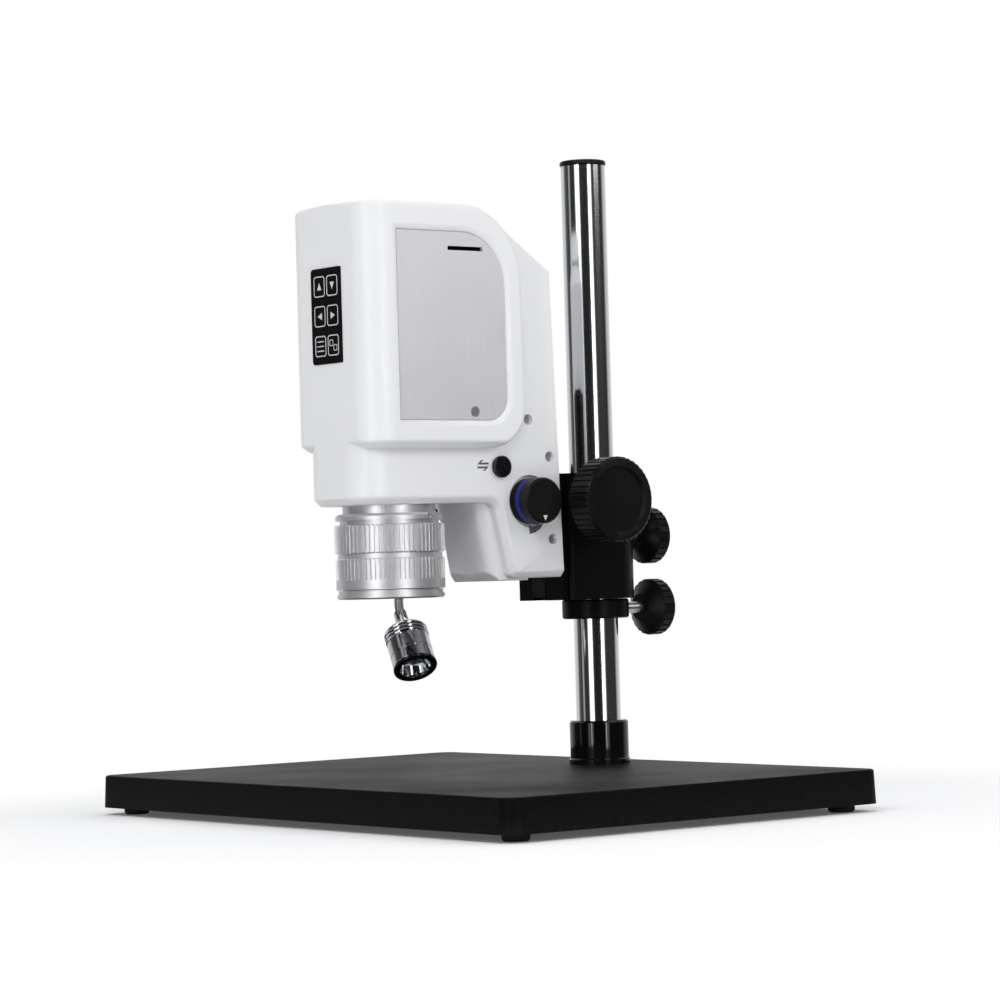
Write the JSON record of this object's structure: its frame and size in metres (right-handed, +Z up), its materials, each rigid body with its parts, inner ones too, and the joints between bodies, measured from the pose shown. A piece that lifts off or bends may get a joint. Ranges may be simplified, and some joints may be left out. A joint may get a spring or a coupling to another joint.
{
  "type": "digital microscope on a column stand",
  "caption": "Video microscope head with a zoom lens, side controls and a small lamp on a flexible neck, on a rack-and-pinion focus block that clamps to a round column on a wide flat base.",
  "frame": {"origin": "point where the optical axis meets the top face of the base plate", "axes": "+Z up along the optical axis and the column, +X to the right of a user facing the keypad, +Y to the rear, towards the column"},
  "size_m": [0.455, 0.3105, 0.4315],
  "materials": {
    "base_paint": "fine textured black powder coat",
    "black_rubber": "matt",
    "screw_steel": "plain steel",
    "column_chrome": "bright chrome plate",
    "black_plastic": "satin black moulding",
    "black_metal": "satin black paint",
    "bronze_bush": "plain bearing bronze",
    "steel_shaft": "ground steel",
    "slide_metal": "dark anodised",
    "white_shell": "satin white moulding",
    "panel_metal": "fine vertical brushing",
    "frame_metal": "plain",
    "key_black": "gloss black with white symbols",
    "board_green": "circuit board",
    "band_blue": "blue",
    "lens_metal": "satin anodised, machined",
    "lens_glass": "coated glass",
    "lamp_metal": "bright nickel plate, fine turned grooves",
    "neck_metal": "bright wound flexible tube",
    "led_yellow": "phosphor"
  },
  "bodies": {
    "stand": {"base_plate": "base_paint", "rubber_feet": "black_rubber", "foot_screws": "screw_steel", "column": "column_chrome", "column_cap": "black_plastic", "column_plug": "frame_metal", "column_bolt": "screw_steel", "column_collar": "black_metal"},
    "ring": {"safety_ring": "black_metal"},
    "ring_clamp": {"ring_knob": "black_plastic", "ring_stud": "steel_shaft"},
    "sleeve": {"column_sleeve": "slide_metal"},
    "focus_block": {"focus_body": "black_metal", "pinion_bushes": "bronze_bush"},
    "block_clamp": {"clamp_knob": "black_plastic", "clamp_stud": "steel_shaft"},
    "pinion": {"pinion_shaft": "steel_shaft", "focus_knob_left": "black_plastic", "focus_knob_right": "black_plastic"},
    "head": {"dovetail_slide": "slide_metal", "rack": "bronze_bush", "chassis": "frame_metal", "right_shell": "white_shell", "left_shell": "white_shell", "right_panel": "panel_metal", "left_panel": "panel_metal", "keypad_plate": "key_black", "keypad_board": "board_green", "dial_sensor": "black_plastic", "lens_mount": "lens_metal", "nose_ring": "lens_metal", "lens_tube": "black_metal", "camera_board": "board_green", "main_board": "board_green", "card_socket": "board_green", "head_screws": "screw_steel", "neck_socket": "lamp_metal"},
    "dial": {"dial_right": "black_plastic", "dial_left": "black_plastic", "dial_bands": "band_blue", "dial_shaft": "steel_shaft"},
    "latch": {"latch_knob": "lens_metal"},
    "zoom_ring": {"upper_ring": "lens_metal"},
    "zoom_group": {"zoom_cell": "black_metal", "zoom_glass": "lens_glass"},
    "aperture_ring": {"lower_ring": "lens_metal"},
    "front_group": {"front_cell": "black_metal", "front_glass": "lens_glass"},
    "neck": {"gooseneck": "neck_metal"},
    "lamp": {"lamp_ferrule": "lamp_metal", "lamp_body": "lamp_metal", "lamp_ring": "black_metal", "lamp_window": "lens_glass", "lamp_led": "led_yellow"},
    "key_up": {"key_up": "key_black"},
    "key_down": {"key_down": "key_black"},
    "key_left": {"key_left": "key_black"},
    "key_right": {"key_right": "key_black"},
    "key_menu": {"key_menu": "key_black"},
    "key_mode": {"key_mode": "key_black"}
  },
  "joints": [
    {"name": "ring_height", "type": "slide", "parent": "stand", "child": "ring", "axis": [0, 0, 1], "range_m": [-0.03, 0.11]},
    {"name": "ring_clamp_turn", "type": "hinge", "parent": "ring", "child": "ring_clamp", "pos_m": [0, 0.2, 0.1036], "axis": [0, 1, 0], "range_deg": [0, 720]},
    {"name": "column_lift", "type": "slide", "parent": "ring", "child": "sleeve", "axis": [0, 0, 1], "range_m": [0, 0.09]},
    {"name": "head_swivel", "type": "hinge", "parent": "sleeve", "child": "focus_block", "pos_m": [0, 0.169, 0.1503], "axis": [0, 0, 1], "range_deg": [-120, 120]},
    {"name": "block_clamp_turn", "type": "hinge", "parent": "focus_block", "child": "block_clamp", "pos_m": [0, 0.2, 0.1521], "axis": [0, 1, 0], "range_deg": [0, 720]},
    {"name": "focus_travel", "type": "slide", "parent": "focus_block", "child": "head", "axis": [0, 0, 1], "range_m": [-0.02, 0.02]},
    {"name": "pinion_turn", "type": "hinge", "parent": "focus_block", "child": "pinion", "pos_m": [0, 0.137, 0.1751], "axis": [1, 0, 0], "range_deg": [-191.5, 191.5]},
    {"name": "dial_turn", "type": "hinge", "parent": "head", "child": "dial", "pos_m": [0, 0.0883, 0.1755], "axis": [1, 0, 0], "range_deg": [-135, 135]},
    {"name": "latch_turn", "type": "hinge", "parent": "head", "child": "latch", "pos_m": [0.0345, 0.0649, 0.1979], "axis": [1, 0, 0], "range_deg": [0, 90]},
    {"name": "zoom_turn", "type": "hinge", "parent": "head", "child": "zoom_ring", "pos_m": [0, 0, 0.153], "axis": [0, 0, 1], "range_deg": [-60, 60]},
    {"name": "zoom_travel", "type": "slide", "parent": "head", "child": "zoom_group", "axis": [0, 0, 1], "range_m": [-0.008, 0.008]},
    {"name": "aperture_turn", "type": "hinge", "parent": "head", "child": "aperture_ring", "pos_m": [0, 0, 0.132], "axis": [0, 0, 1], "range_deg": [-30, 30]},
    {"name": "front_travel", "type": "slide", "parent": "head", "child": "front_group", "axis": [0, 0, 1], "range_m": [-0.002, 0.002]},
    {"name": "neck_swivel", "type": "hinge", "parent": "head", "child": "neck", "pos_m": [-0.026, 0.034, 0.1747], "axis": [0, 0, 1], "range_deg": [-40, 40]},
    {"name": "lamp_bend", "type": "hinge", "parent": "neck", "child": "lamp", "pos_m": [-0.05, 0.037, 0.135], "axis": [0, 1, 0], "range_deg": [-12, 25], "deforming": ["gooseneck"]},
    {"name": "key_up_press", "type": "slide", "parent": "head", "child": "key_up", "axis": [0, 1, 0], "range_m": [0, 0.0004], "stiffness_N_per_m": 2000},
    {"name": "key_down_press", "type": "slide", "parent": "head", "child": "key_down", "axis": [0, 1, 0], "range_m": [0, 0.0004], "stiffness_N_per_m": 2000},
    {"name": "key_left_press", "type": "slide", "parent": "head", "child": "key_left", "axis": [0, 1, 0], "range_m": [0, 0.0004], "stiffness_N_per_m": 2000},
    {"name": "key_right_press", "type": "slide", "parent": "head", "child": "key_right", "axis": [0, 1, 0], "range_m": [0, 0.0004], "stiffness_N_per_m": 2000},
    {"name": "key_menu_press", "type": "slide", "parent": "head", "child": "key_menu", "axis": [0, 1, 0], "range_m": [0, 0.0004], "stiffness_N_per_m": 2000},
    {"name": "key_mode_press", "type": "slide", "parent": "head", "child": "key_mode", "axis": [0, 1, 0], "range_m": [0, 0.0004], "stiffness_N_per_m": 2000}
  ],
  "couplings": [
    {"joint": "pinion_turn", "follows": "focus_travel", "rad_per_m": -166.67},
    {"joint": "zoom_travel", "follows": "zoom_turn", "m_per_rad": 0.0076},
    {"joint": "front_travel", "follows": "aperture_turn", "m_per_rad": 0.0038}
  ]
}
